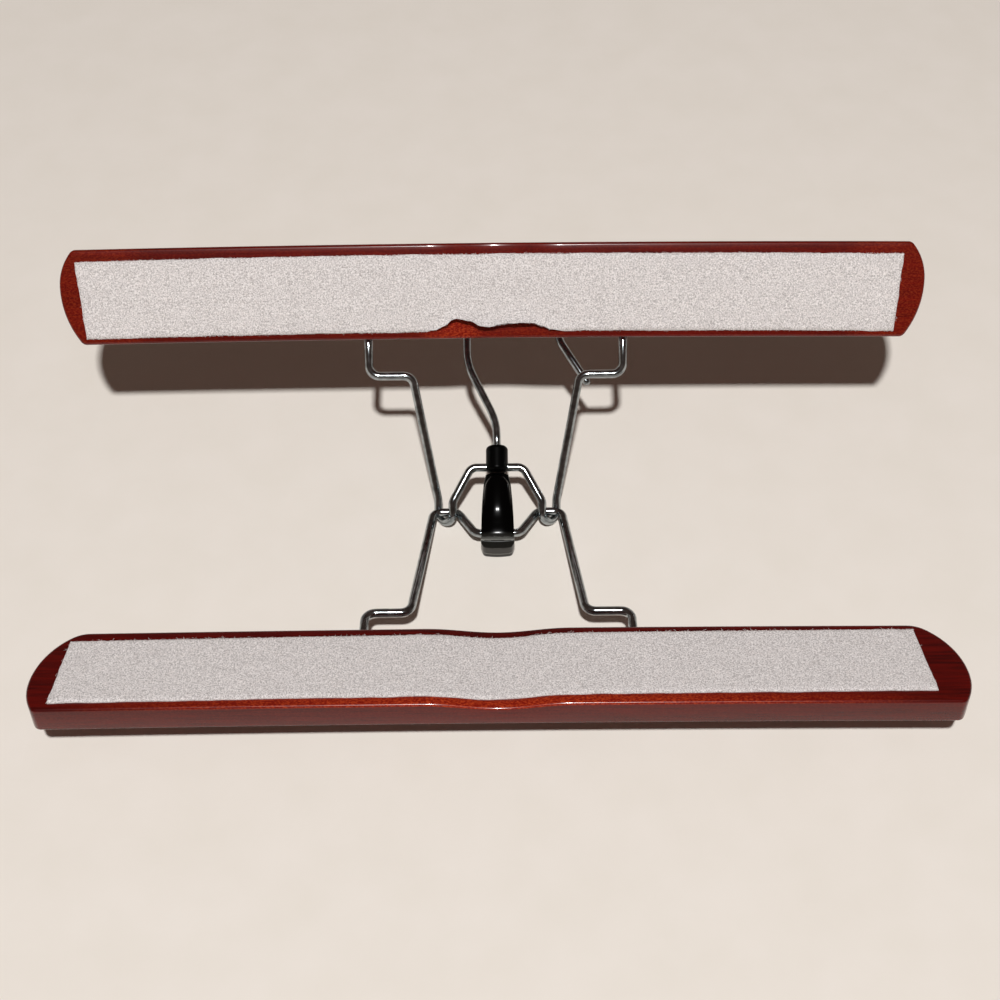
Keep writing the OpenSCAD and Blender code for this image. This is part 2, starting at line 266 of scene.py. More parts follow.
def make_felt():
    material, tree, shader, place = new_material(
        "pressed wool felt", in_Roughness=0.95, in_Sheen_Weight=0.25, in_Specular_IOR_Level=0.1)
    fibres = add(tree, "ShaderNodeTexNoise", [(place, "Vector")],
                 in_Scale=1000 / FIBRE_MM, in_Detail=6.0, in_Roughness=0.7)
    clouds = add(tree, "ShaderNodeTexNoise", [(place, "Vector")],
                 in_Scale=1000 / CLOUD_MM, in_Detail=3.0)
    tone = add(tree, "ShaderNodeValToRGB", [(fibres.outputs["Fac"], "Fac")],
               stops=[(0.38, "#9a9492"), (0.6, "#faf5f3")])
    shade = add(tree, "ShaderNodeValToRGB", [(clouds.outputs["Fac"], "Fac")],
                stops=[(0.3, "#cdc6c4"), (0.7, "#dad3d1")])
    mix = add(tree, "ShaderNodeMix", [(tone.outputs[0], MIX_A), (shade.outputs[0], MIX_B)],
              data_type="RGBA", in_Factor=0.15)
    tree.links.new(mix.outputs[MIXED], shader.inputs["Base Color"])
    bump = add(tree, "ShaderNodeBump", [(fibres.outputs["Fac"], "Height")],
               in_Strength=0.7, in_Distance=0.0006)
    tree.links.new(bump.outputs[0], shader.inputs["Normal"])
    return material


FELT = make_felt()
print("felt ready")


# %% [markdown]
# The wire is drawn steel, bent and then chromed. Chrome is a near mirror with a cool tint, and
# drawing leaves faint marks, so the roughness varies a little along the wire.

# %% Chrome
DRAWN_MM = 2.5


def make_chrome():
    material, tree, shader, place = new_material("chromed steel wire", in_Metallic=1.0)
    marks = add(tree, "ShaderNodeTexNoise", [(place, "Vector")],
                in_Scale=1000 / DRAWN_MM, in_Detail=4.0)
    gloss = add(tree, "ShaderNodeMapRange", [(marks.outputs["Fac"], "Value")],
                in_To_Min=0.06, in_To_Max=0.2)
    tree.links.new(gloss.outputs[0], shader.inputs["Roughness"])
    tone = add(tree, "ShaderNodeValToRGB", [(marks.outputs["Fac"], "Fac")],
               stops=[(0.3, "#7f8689"), (0.7, "#b6bdc0")])
    tree.links.new(tone.outputs[0], shader.inputs["Base Color"])
    return material


CHROME = make_chrome()
print("chrome ready")


# %% [markdown]
# Lever and collar are moulded in black plastic. The collar came out of a dull mould with a fine
# grit, so it has only a soft sheen. The lever was polished and reflects like lacquer, but hands
# have rubbed its lip grey and rough, with fine scratches. Painted sheen and painted highlights
# lighten the lip's slope and crest, its rims and the shoulders. A map on the mesh says where.

# %% Black plastics
GRIT_MM = 0.6  # the mould's real grit is about 0.1 mm, too fine to show from here
SCRATCH_MM = 0.35  # real scratches are finer too


def make_collar_black():
    material, tree, shader, place = new_material(
        "moulded black plastic, matte", in_Roughness=0.3, in_Specular_IOR_Level=0.06)
    grit = add(tree, "ShaderNodeTexNoise", [(place, "Vector")],
               in_Scale=1000 / GRIT_MM, in_Detail=5.0)
    tone = add(tree, "ShaderNodeValToRGB", [(grit.outputs["Fac"], "Fac")],
               stops=[(0.35, "#020202"), (0.75, "#050505")])
    tree.links.new(tone.outputs[0], shader.inputs["Base Color"])
    bump = add(tree, "ShaderNodeBump", [(grit.outputs["Fac"], "Height")],
               in_Strength=0.15, in_Distance=0.0001)
    tree.links.new(bump.outputs[0], shader.inputs["Normal"])
    return material


def make_lever_black():
    material, tree, shader, place = new_material(
        "moulded black plastic, polished", in_Specular_IOR_Level=0.1)
    wear_and_highlights = add(tree, "ShaderNodeAttribute", attribute_name="wear_and_highlights")
    scratches = add(tree, "ShaderNodeTexNoise", [(place, "Vector")],
                    in_Scale=1000 / SCRATCH_MM, in_Detail=4.0)
    speck = add(tree, "ShaderNodeMapRange", [(scratches.outputs["Fac"], "Value")],
                in_From_Min=0.35, in_From_Max=0.65, in_To_Min=0.7, in_To_Max=1.0)
    wear_and_highlight_mix = add(tree, "ShaderNodeMath", [(wear_and_highlights.outputs["Fac"], 0), (speck.outputs[0], 1)],
                 operation="MULTIPLY")
    # Black body, grey of the rubbed lip with painted sheen, and painted highlights on edges and
    # shoulders
    tone = add(tree, "ShaderNodeValToRGB", [(wear_and_highlight_mix.outputs[0], "Fac")],
               stops=[(0.0, "#020202"), (0.45, "#23221f"), (1.0, "#a3a49e")])
    tree.links.new(tone.outputs[0], shader.inputs["Base Color"])
    gloss = add(tree, "ShaderNodeMapRange", [(wear_and_highlight_mix.outputs[0], "Value")],
                in_To_Min=0.13, in_To_Max=0.5)
    tree.links.new(gloss.outputs[0], shader.inputs["Roughness"])
    return material


LEVER_BLACK = make_lever_black()
COLLAR_BLACK = make_collar_black()
print("plastics ready")


# %% [markdown]
# Both bars are cut from one moulding, a flat board with two arcs at each end and a shallow hollow
# across its middle. First comes the outline of its face: points that run down each end, closest
# together where the end curves most.

# %% Bar outline
BAR_L, BAR_H, BAR_T, BAR_DROP = 356, 39, 11.5, 72.5
# Radii of an end on the side of the wires and on the outer side, the share of the height at
# which they meet, the rounding of the two corners, and how far off the middle the bar was drilled
FRONT_ENDS, REAR_ENDS = (30, 21, 0.68, 12, 3, 0), (38, 22, 0.62, 3, 3, -1.2)
OUTLINE_ROWS = 40


def bar_half_length(v, ends):
    """Half the bar's length at distance v from its near edge, with both corners rounded."""
    near_r, outer_r, peak, near_corner, outer_corner, _ = ends
    off = v - BAR_H * peak
    if off < 0:
        r, corner, low = near_r, near_corner, BAR_H * peak - near_corner
    else:
        r, corner, low = outer_r, outer_corner, BAR_H * (1 - peak) - outer_corner
    x = math.sqrt((r - corner) ** 2 - low ** 2)
    if abs(off) > low * r / (r - corner):
        return BAR_L / 2 - r + x + math.sqrt(max(0, corner ** 2 - (abs(off) - low) ** 2))
    return BAR_L / 2 - r + math.sqrt(r * r - off * off)


def bar_outline(ends):
    turns = [math.pi * i / OUTLINE_ROWS for i in range(OUTLINE_ROWS + 1)]
    rows = [(0.5 - 0.5 * math.cos(turn)) * BAR_H for turn in turns]
    right = [(bar_half_length(v, ends) + ends[-1], BAR_DROP + v) for v in rows]
    left = [(-bar_half_length(v, ends) + ends[-1], BAR_DROP + v) for v in reversed(rows)]
    return right + left


print("bar outline", len(bar_outline(FRONT_ENDS)), "points")


# %% [markdown]
# The outline becomes one face, which is extruded to the bar's thickness, and both rims are
# rounded with a bevel. Planes then cut the bar into small faces, so that its middle can be sunk
# in the hollow, the painted sheen can be drawn on its points, and the whole bar can bow a little.

# %% Bars
DIP, DIP_L = 2.6, 56
EDGE_R, FRONT_BACK_R, REAR_BACK_R = 1.2, 0.8, 1.8
RIM_STEPS = 4
# How far the middle of a bar, or of its strip, stands off the straight line between its ends
FRONT_BOW, REAR_BOW, REAR_FELT_BOW = -1.0, 1.2, 1.8
# Planes that cut the bar into small faces: axis, first place, last place and step
CUTS = [(0, -28, 28, 1), (0, -160, -32, 8), (0, 32, 160, 8), (1, 75.5, 108.5, 1.5)]
NEAR = 1e-4
# Share of painted sheen on the front bar: along the outer edge, and faintly on the side face
OUTER_SHEEN, OUTER_HALF, OUTER_W, OUTER_SOFT = 0.95, 165, 5.5, 2
SIDE_SHEEN, SIDE_BELOW = 0.1, 0.8
# Painted light on the rear bar: round the middle of the near edge, a patch beside it, both ends,
# elsewhere
MIDDLE_LIT, MIDDLE_LIT_X, MIDDLE_LIT_HALF, MIDDLE_LIT_W, MIDDLE_LIT_SOFT = 0.3, -2, 40, 13, 5
PATCH, PATCH_X, PATCH_HALF = 0.4, -18, 13
END_SHEEN, END_X, REST_SHEEN = 0.3, 150, 0.12


def hollow(x):
    """Depth of the hollow at distance x from the middle."""
    return DIP * 0.5 * (1 + math.cos(math.pi * min(1, abs(x) / (DIP_L / 2))))


def painted_sheen_share(x, y, z, rear):
    """Share of painted sheen: brighter red with sparkle flecks, where the lacquer catches light.
    """
    v = y - BAR_DROP
    if z < BAR_T / 2 - SIDE_BELOW - hollow(x):
        return 0 if rear else SIDE_SHEEN
    if not rear:
        return OUTER_SHEEN * tapered(x, OUTER_HALF, 2) * clamp((v - BAR_H + OUTER_W) / OUTER_SOFT)
    share = MIDDLE_LIT + PATCH * tapered(x - PATCH_X, PATCH_HALF, 3)
    lit_middle = share * tapered(x - MIDDLE_LIT_X, MIDDLE_LIT_HALF, 4) * clamp((MIDDLE_LIT_W - v) / MIDDLE_LIT_SOFT)
    return max(lit_middle, END_SHEEN if abs(x) > END_X else REST_SHEEN)


def bowed(x, bow):
    return bow * tapered(x, BAR_L / 2, 2)


def round_rim(bm, z, radius):
    """Rounds all edges of the outline that lie at height z."""
    rim = [e for e in bm.edges if all(abs(v.co.z - z) < NEAR for v in e.verts)]
    bmesh.ops.bevel(bm, geom=rim, offset=radius, offset_type="OFFSET", affect="EDGES",
                    segments=RIM_STEPS, profile=0.5, material=-1, clamp_overlap=True)


def bar_shape(ends, rear):
    bm = bmesh.new()
    face = bm.faces.new([bm.verts.new((x, y, BAR_T / 2)) for x, y in bar_outline(ends)])
    made = bmesh.ops.extrude_face_region(bm, geom=[face])
    low = [g for g in made["geom"] if isinstance(g, bmesh.types.BMVert)]
    bmesh.ops.translate(bm, vec=(0, 0, -BAR_T), verts=low)
    round_rim(bm, BAR_T / 2, EDGE_R)
    round_rim(bm, -BAR_T / 2, REAR_BACK_R if rear else FRONT_BACK_R)
    for axis, start, end, step in CUTS:
        for i in range(round((end - start) / step) + 1):
            at = Vector([start + i * step if k == axis else 0 for k in range(3)])
            bmesh.ops.bisect_plane(bm, geom=bm.verts[:] + bm.edges[:] + bm.faces[:], plane_co=at,
                                   plane_no=Vector([k == axis for k in range(3)]), dist=NEAR)
    for vert in bm.verts:
        sunk = clamp((vert.co.z + BAR_T / 4) / (BAR_T * 0.75))  # the back stays flat
        vert.co.z -= hollow(vert.co.x) * sunk
    # Painted sheen and sparkle are stored on the points
    painted_sheen = bm.verts.layers.float.new("painted_sheen")
    for vert in bm.verts:
        vert[painted_sheen] = painted_sheen_share(*vert.co, rear)
        vert.co.y += bowed(vert.co.x, REAR_BOW if rear else FRONT_BOW)
    return bm


FRONT_BAR = finish(bar_shape(FRONT_ENDS, False), "front_bar_wood", ON_FRONT, "front_half",
                   WOOD, ["front_bar"], angle=40)
REAR_BAR = finish(bar_shape(REAR_ENDS, True), "rear_bar_wood", ON_REAR, "rear_half",
                  WOOD, ["rear_bar"], angle=40)


# %% [markdown]
# The rear strip has come unstuck in the middle of its edge nearest the wires. The edge there is
# torn and drawn back in a ragged wave, and it stands off the wood a little. A short table gives
# the wave, and two small functions say how far the edge is drawn back and how high it stands.

# %% Unstuck edge
# Places along the strip and how far its torn edge is drawn back there, in millimetres
TORN = [(-30, 0), (-25, 0.8), (-20.5, 2.8), (-18, 5.0), (-16.2, 5.6), (-10.6, 4.6),
        (-5.8, 2.4), (-2.6, 1.9), (1.4, 2.6), (6, 3.2), (10.5, 3.5), (15.5, 3.4), (18.8, 2.2),
        (23, 0.8), (29, 0)]
LIFT_MAX, LIFT_W = 3.6, 7
# The lift grows with the tear, and stays inside the room that the two hollows leave when shut
LIFT_BY_TEAR, LIFT_BY_HOLLOW, LIFT_FREE = 1.6, 2.0, 0.7


def drawn_back(x):
    for (x0, d0), (x1, d1) in zip(TORN, TORN[1:]):
        if x0 <= x <= x1:
            t = (x - x0) / (x1 - x0)
            return d0 + (d1 - d0) * t * t * (3 - 2 * t)
    return 0


def lift(x, y, inset):
    """How far the unstuck edge of the rear strip stands off the wood."""
    back = drawn_back(x)
    edge = max(0, 1 - (y - BAR_DROP - inset - back) / LIFT_W)
    room = LIFT_BY_HOLLOW * hollow(x) + LIFT_FREE
    return min(LIFT_MAX, room, LIFT_BY_TEAR * back) * edge * edge


print("torn edge drawn back by up to", max(back for x, back in TORN), "mm")


# %% [markdown]
# The felt strips are cut by hand: their ends slant, their edges wander by a fraction of a
# millimetre, and the surface is uneven. Each starts as a grid whose rows and columns lie closest
# together at its edges. The grid takes the outline, is extruded to a closed sheet, and its upper
# side is raised by the felt's thickness, with soft edges.

# %% Felt strips
FELT_T, FELT_FLARE, FELT_SHIFT, FELT_SKEW = 1.4, 7, 2.3, 0.35
FRONT_FELT_H, REAR_FELT_H = 30.6, 31.5
FRONT_FELT_L, REAR_FELT_L = 326, 333
FRONT_INSET, REAR_INSET = 4.2, 2.4
# Near length, height, inset from the bar's edge, shift, skew, bow, and whether it is unstuck
FRONT_STRIP = (FRONT_FELT_L, FRONT_FELT_H, FRONT_INSET, FELT_SHIFT, FELT_SKEW, FRONT_BOW,
               False)
REAR_STRIP = (REAR_FELT_L, REAR_FELT_H, REAR_INSET, -FELT_SHIFT, 0, REAR_FELT_BOW, True)
FELT_COLUMNS, FELT_ROWS = 420, 48
SOFT_EDGE, EDGE_T = 1.3, 0.4  # width of the soft edge, and share of the thickness left at it
# How far apart and how large the unevenness of the ends, the edges and the surface is
END_WAVE, EDGE_WAVE, SURFACE_WAVES = (6, 0.5), (9, 0.35), ((5, 0.12), (1.2, 0.12))
GLUE, PRESSED = 0.02, 0.15  # gap under the felt, and how far its surface is pressed down


def wander(x, y, apart, size):
    return size * noise.noise(Vector((x / apart, y / apart, 3.7)))


def felt_shape(near, high, inset, shift, skew, bow, lifted):
    bm = bmesh.new()
    bmesh.ops.create_grid(bm, x_segments=FELT_COLUMNS, y_segments=FELT_ROWS, size=0.5)
    height = {}
    for vert in bm.verts:
        t = 0.5 - 0.5 * math.cos(math.pi * (vert.co.y + 0.5))
        side = math.sin(math.pi * vert.co.x)
        long = (near + FELT_FLARE * t) / 2
        x = side * long + wander(side * 45, t * 40, *END_WAVE) * abs(side)
        back = drawn_back(x + shift) if lifted else 0
        y = back + (high - back) * t + wander(x, 9 + t, *EDGE_WAVE)
        border = min(long - abs(x), y - back, high - y) / SOFT_EDGE
        low = EDGE_T + (1 - EDGE_T) * min(1, back / 2) * max(0, 1 - 3 * t)
        height[vert] = FELT_T * (low + (1 - low) * math.sqrt(clamp(border)))
        vert.co = Vector((x, y - high / 2, 0))
    bmesh.ops.rotate(bm, cent=(0, 0, 0), matrix=Matrix.Rotation(math.radians(skew), 3, "Z"),
                     verts=bm.verts)
    bmesh.ops.translate(bm, vec=(shift, BAR_DROP + inset + high / 2, 0), verts=bm.verts)
    flat = {vert.co.copy().freeze(): height[vert] for vert in bm.verts}
    made = bmesh.ops.extrude_face_region(bm, geom=bm.faces[:])
    under = {g for g in made["geom"] if isinstance(g, bmesh.types.BMVert)}
    for vert in bm.verts:
        x, y = vert.co.xy
        thick = flat[vert.co.copy().freeze()]
        vert.co.z = BAR_T / 2 - hollow(x) + (lift(x, y, inset) if lifted else 0) + GLUE
        if vert not in under:
            vert.co.z += thick - PRESSED + sum(wander(x, y, *wave) for wave in SURFACE_WAVES)
        vert.co.y += bowed(x, bow)
    return bm


FRONT_FELT = finish(felt_shape(*FRONT_STRIP), "front_felt_strip", ON_FRONT, "front_half",
                    FELT, ["front_felt"], angle=60)
REAR_FELT = finish(felt_shape(*REAR_STRIP), "rear_felt_strip", ON_REAR, "rear_half",
                   FELT, ["rear_felt"], angle=60)


# %% [markdown]
# Loose fibres lie on the felt in all directions and stand out over its cut edges. They are wool,
# so they are pale and soft, with a faint gleam. Each is a narrow strip of four faces, curved and
# turned at random. The seed is fixed, so that every run gives the same felt.

# %% Loose fibres
FIBRE_W = 0.09  # a real one is 0.03 mm wide, less than the picture shows
FIBRES, CUT_EVERY = 6000, 4  # one fibre in four stands on a cut edge
LONG_MM, CUT_LONG_MM, RISE_MM = (0.6, 1.8), (0.3, 0.9), (0.03, 0.2)
FIBRE_SUNK, CUT_UP, CUT_UP_TORN = 0.12, 0.45, 0.5
TONE_MM = 4.0


def fibres(near, high, inset, shift, skew, bow, lifted, seed):
    chance = random.Random(seed)
    bm = bmesh.new()
    rows = 2 * FIBRES - 1
    bmesh.ops.create_grid(bm, x_segments=4, y_segments=rows, size=0.5)
    between = [f for f in bm.faces if int((f.calc_center_median().y + 0.5) * rows) % 2]
    bmesh.ops.delete(bm, geom=between, context="FACES")
    strips = [[] for i in range(FIBRES)]
    for vert in bm.verts:
        strips[round((vert.co.y + 0.5) * rows) // 2].append(vert)
    for i, strip in enumerate(strips):
        cut = i % CUT_EVERY == 0
        t = chance.choice((0.0, 1.0)) if cut else chance.random()
        x = chance.uniform(-1, 1) * (near + FELT_FLARE * t) / 2 + shift
        back = drawn_back(x) if lifted else 0
        y = BAR_DROP + inset + back + (high - back) * t + math.radians(skew) * (x - shift)
        size = chance.uniform(*CUT_LONG_MM) if cut else chance.uniform(*LONG_MM)
        bend, rise = chance.uniform(-1, 1), chance.uniform(*RISE_MM)
        turned = Matrix.Rotation(chance.uniform(0, math.pi), 3, "Z")
        up = FELT_T * (CUT_UP + CUT_UP_TORN * min(1, back / 2) * (1 - t) if cut else 1.0)
        middle = sum(vert.co.y for vert in strip) / len(strip)
        for vert in strip:
            u = vert.co.x
            side = math.copysign(FIBRE_W / 2, vert.co.y - middle)
            flat = turned @ Vector((u * size, side + bend * u * u * size, 0)) + Vector((x, y, 0))
            flat.z = (BAR_T / 2 - hollow(flat.x) + up - FIBRE_SUNK + rise * (1 - 3 * u * u)
                      + (lift(x, flat.y, inset) if lifted else 0))
            flat.y += bowed(x, bow)
            vert.co = flat
    return bm


def make_loose():
    material, tree, shader, place = new_material(
        "loose wool fibres", in_Roughness=0.8, in_Specular_IOR_Level=0.2)
    tone = add(tree, "ShaderNodeTexNoise", [(place, "Vector")], in_Scale=1000 / TONE_MM)
    color = add(tree, "ShaderNodeValToRGB", [(tone.outputs["Fac"], "Fac")],
                stops=[(0.3, "#d0c8c5"), (0.7, "#f2eae6")])
    tree.links.new(color.outputs[0], shader.inputs["Base Color"])
    return material


LOOSE = make_loose()
FRONT_FUZZ = put_in_place(fibres(*FRONT_STRIP, seed=5), "front_felt_fibres", ON_FRONT,
                          "front_half", LOOSE)
REAR_FUZZ = put_in_place(fibres(*REAR_STRIP, seed=6), "rear_felt_fibres", ON_REAR,
                         "rear_half", LOOSE)


# %% [markdown]
# A bent wire is a circle that walks. Along a straight run its edge is extruded, and at a bend it
# is spun about the bend's centre, just as a bending machine turns the wire round a pin. So one
# function makes both bails and the hook, from the corner points and a radius for each corner.

# %% Bent wire
WIRE_SIDES = 28
BEND_STEP = 7
DOME = ((0.5, 0.866), (0.35, 0.6), (0.13, 0.25))  # step and width of each ring, in radii


def bent_wire(points, radii, diameter):
    points = [Vector(p) for p in points]
    ways = [(b - a).normalized() for a, b in zip(points, points[1:])]
    turns = [0] + [a.angle(b) for a, b in zip(ways, ways[1:])] + [0]
    backs = [r * math.tan(t / 2) for r, t in zip(radii, turns)]
    bm = bmesh.new()
    made = bmesh.ops.create_circle(bm, segments=WIRE_SIDES, radius=diameter / 2, cap_ends=True)
    aim = Vector((0, 0, 1)).rotation_difference(ways[0]).to_matrix()
    bmesh.ops.rotate(bm, cent=(0, 0, 0), matrix=aim, verts=made["verts"])
    bmesh.ops.translate(bm, vec=points[0], verts=made["verts"])
    edges = bm.edges[:]
    for i, way in enumerate(ways):
        run = (points[i + 1] - points[i]).length - backs[i] - backs[i + 1]
        grown = bmesh.ops.extrude_edge_only(bm, edges=edges)["geom"]
        verts = [g for g in grown if isinstance(g, bmesh.types.BMVert)]
        bmesh.ops.translate(bm, vec=way * run, verts=verts)
        edges = [g for g in grown if isinstance(g, bmesh.types.BMEdge)
                 and all(v in verts for v in g.verts)]
        if i + 1 < len(ways):
            normal = way.cross(ways[i + 1]).normalized()
            side = normal.cross(way)
            centre = points[i + 1] - way * backs[i + 1] + side * radii[i + 1]
            steps = max(2, round(math.degrees(turns[i + 1]) / BEND_STEP))
            last = bmesh.ops.spin(bm, geom=edges + verts, cent=centre, axis=normal,
                                  angle=turns[i + 1], steps=steps, use_merge=False)["geom_last"]
            edges = [g for g in last if isinstance(g, bmesh.types.BMEdge)]
    return bm, edges, ways[-1]


def round_end(bm, edges, way, diameter):
    """Grows a small dome from the wire's last rim, and gives the dome's last ring of edges."""
    radius = diameter / 2
    ring = list({v for e in edges for v in e.verts})
    centre = sum((v.co for v in ring), Vector()) / len(ring)
    for step, width in DOME:
        grown = bmesh.ops.extrude_edge_only(bm, edges=edges)["geom"]
        ring = [g for g in grown if isinstance(g, bmesh.types.BMVert)]
        edges = [g for g in grown if isinstance(g, bmesh.types.BMEdge)
                 and all(v in ring for v in g.verts)]
        centre = centre + way * radius * step
        for vert in ring:
            out = vert.co - centre
            out = (out - way * out.dot(way)).normalized()
            vert.co = centre + out * radius * width
    return edges


print("a wire of", WIRE_SIDES, "sides, bent in steps of", BEND_STEP, "degrees")


# %% [markdown]
# Both bails are symmetric, so half of each is written down and then mirrored: from the end in the
# bar's hole over the jog and along the arm to the ear, and on to the span. The ears are where the
# two wires hang in each other. The rear one passes under the front one, round it and over it.

# %% Bails
WIRE_D = 3.5
ENTRY_X, ENTRY_DEEP, STUB, ARM_X, JOG_R = 53, 18, 14.5, 35, 4.5
EAR_X, REAR_EAR_W, FRONT_EAR_W, EAR_PLAY = 22, 6.3, 10.2, 0.3
REAR_SPAN, FRONT_SPAN, REAR_SPAN_X, FRONT_SPAN_X, SPAN_R = 19, 13, 11, 9.3, 4
ROUND_R = WIRE_D + EAR_PLAY
EAR_BEND_R = math.hypot(REAR_EAR_W, 2 * ROUND_R) / 2
EAR_V = EAR_BEND_R - ROUND_R - EAR_PLAY
LEG_V = 5
JOG_V = BAR_DROP - STUB
SHY = 0.02  # two bends that meet are this much tighter, so that a short run is left between them
BAIL_END = [(-ENTRY_X, BAR_DROP + ENTRY_DEEP, 0), (-ENTRY_X, JOG_V, 0), (-ARM_X, JOG_V, 0)]


def bail(half, radii, name, place, body, node):
    points = half + [(-x, y, z) for x, y, z in reversed(half)]
    bm, edges, way = bent_wire(points, radii + radii[::-1], WIRE_D)
    bmesh.ops.contextual_create(bm, geom=edges)
    finish(bm, name, place, body, CHROME, [node])


bail(
    BAIL_END + [(-EAR_X - FRONT_EAR_W / 2, 0, 0), (-EAR_X + FRONT_EAR_W / 2, 0, 0),
                (-FRONT_SPAN_X, FRONT_SPAN, 0)],
    [0, JOG_R, JOG_R, SPAN_R, SPAN_R, SPAN_R],
    "front_bail_wire", ON_FRONT, "front_half", "front_bail")
bail(
    BAIL_END + [(-EAR_X - REAR_EAR_W / 2, LEG_V, -ROUND_R),
                (-EAR_X - REAR_EAR_W / 2, EAR_V - EAR_BEND_R, -ROUND_R),
                (-EAR_X + REAR_EAR_W / 2, EAR_V - EAR_BEND_R, ROUND_R),
                (-EAR_X + REAR_EAR_W / 2, LEG_V, ROUND_R), (-REAR_SPAN_X, REAR_SPAN, 0)],
    [0, JOG_R, JOG_R, JOG_R, EAR_BEND_R - SHY, EAR_BEND_R - SHY, JOG_R, SPAN_R],
    "rear_bail_wire", ON_REAR, "rear_half", "rear_bail")


# %% [markdown]
# The hook is one more wire, thinner than the bails, with a rounded tip. Its inner end turns in
# the collar, so it is made as its own piece that rides on the hook body.

# %% Hook
HOOK_D, HOOK_N, LOOP_R, HOOK_REACH, HOOK_LEFT = 3.3, 2, 19.7, 78, 12.4
TIP_X, TIP_Y, LEAN_R, TIP_R, HEAD_Y = 38.6, 37.6, 26, 12, 4.4
# Distances from the pivot at which the stem begins to lean, stops, and the far side turns in
LEAN_Y, STEM_Y, FALL_Y = 19.5, 46, 57


def make_hook():
    right = 2 * LOOP_R - HOOK_LEFT
    flat = [(0, HEAD_Y), (0, LEAN_Y), (-HOOK_LEFT, STEM_Y), (-HOOK_LEFT, HOOK_REACH),
            (right, HOOK_REACH), (right, FALL_Y), (TIP_X, TIP_Y)]
    radii = [0, LEAN_R, LEAN_R, LOOP_R - SHY, LOOP_R - SHY, TIP_R, 0]
    bm, edges, way = bent_wire([(x, y, HOOK_N) for x, y in flat], radii, HOOK_D)
    bmesh.ops.contextual_create(bm, geom=round_end(bm, edges, way, HOOK_D))
    finish(bm, "hook_wire", ON_LEVER, "hook", CHROME, ["hook"])


make_hook()


# %% [markdown]
# The lever is a moulding. Its back is a glossy crown that begins in a round arch beside the
# collar, runs down to a shallow thumb rest, and rises again to a lip across the end. A table of
# stations along it gives the section there, and a smooth curve runs through them.

# %% Lever sections
LEVER_L = 35.5
# Distance from the pivot, half width, height of the back, its crown, and the underside there
LEVER_STATIONS = [
    (-3.1, 4.75, 4.0, 2.6, -2.2), (-6.5, 5.5, 4.6, 2.6, -2.6), (-10, 5.9, 4.75, 2.6, -2.6),
    (-15, 6.3, 4.65, 2.6, -1.6), (-19, 6.5, 4.35, 2.4, -0.8), (-22, 6.65, 3.75, 2.1, -0.4),
    (-25, 6.75, 2.9, 1.8, -0.4), (-28, 6.85, 2.05, 1.3, -0.4), (-30.0, 6.9, 1.8, 0.9, -0.4),
    (-31.2, 6.9, 2.4, 0.5, -0.8), (-32.3, 6.95, 4.5, 0.25, -4.0),
    (-33.0, 6.95, 5.4, 0.1, -7.4), (-33.6, 6.95, 5.4, 0.05, -7.4), (-35.5, 6.95, 4.0, 0.05, -7.4)]
HALF_WIDTH, BACK, CROWN, UNDERSIDE = 1, 2, 3, 4
CROWN_POWER = 2.5
GROUND = 0.1
# The arch: how far it is set in, where its round end begins and how long that is, the share of
# it that slopes, the depth of the step round it, and where and how fast the step fades out
ARCH_IN, ARCH_Y, ARCH_L, ARCH_SLOPE = 0.5, -9.5, 5.6, 0.22
ARCH_DEEP, ARCH_END, ARCH_FADE = 1.7, -18, 8


def ground_below(y):
    """Height in the lever's place of the table under a point of the lever."""
    tilt = math.radians(LEVER_TILT)
    return (GROUND - PIVOT.z / MM - y * math.sin(tilt)) / math.cos(tilt)


def section(y, column):
    """Value of one column at y, on a smooth curve through the stations."""
    stations = LEVER_STATIONS
    y = max(stations[-1][0], min(stations[0][0], y))
    i = next(i for i in range(1, len(stations)) if y >= stations[i][0])
    places = [stations[max(0, min(len(stations) - 1, j))] for j in range(i - 2, i + 2)]
    (y0, y1, y2, y3), (a0, a1, a2, a3) = [p[0] for p in places], [p[column] for p in places]
    slope1 = (a2 - a0) / (y2 - y0)
    slope2 = (a3 - a1) / (y3 - y1)
    t, h = (y - y1) / (y2 - y1), y2 - y1
    return (a1 * (1 + 2 * t) * (1 - t) ** 2 + slope1 * h * t * (1 - t) ** 2
            + a2 * t * t * (3 - 2 * t) - slope2 * h * t * t * (1 - t))


def lever_height(x, y):
    """Height of the back: a crown across, set in from the outline by the arch at its upper end."""
    half = section(y, HALF_WIDTH)
    dome = section(y, BACK) - section(y, CROWN) * abs(x / half) ** CROWN_POWER
    inside = 1 - math.hypot(x / (half - ARCH_IN), max(0, y - ARCH_Y) / ARCH_L)
    rise = clamp(inside / ARCH_SLOPE)
    fade = clamp((y - ARCH_END) / ARCH_FADE)
    return dome - ARCH_DEEP * fade * (1 - math.sqrt(1 - (1 - rise) ** 2))


print("lip stands", round(lever_height(0, -33.3) - lever_height(0, -30), 2), "mm above the rest")


# %% [markdown]
# The lever's top is one grid: each point gets its width from the outline and its height from the
# crown. Extruding the grid downwards makes the body, and a second extrusion from below makes it
# hollow. Its outer edges are rounded with a bevel. Points on the lip get the rubbed finish that
# hands leave, with painted sheen, and its edges and the shoulders beside the arch get painted
# highlights.

# %% Lever
LEVER_COLUMNS, LEVER_ROWS, WALL_CUTS = 44, 150, 12
CORNER_R, END_BOW, END_BOW_W, END_HALF = 2, 0.8, 6, 7
FOOT_IN, FOOT_IN_W = 1.1, 1.5  # the lip's foot is set back under it
ROOM_HALF, ROOM_FROM, ROOM_TO, ROOM_TOP, SHELL = 3.7, -29, -9, 1.5, 1.3
SHARP, LEVER_EDGE_R = 0.9, 0.45
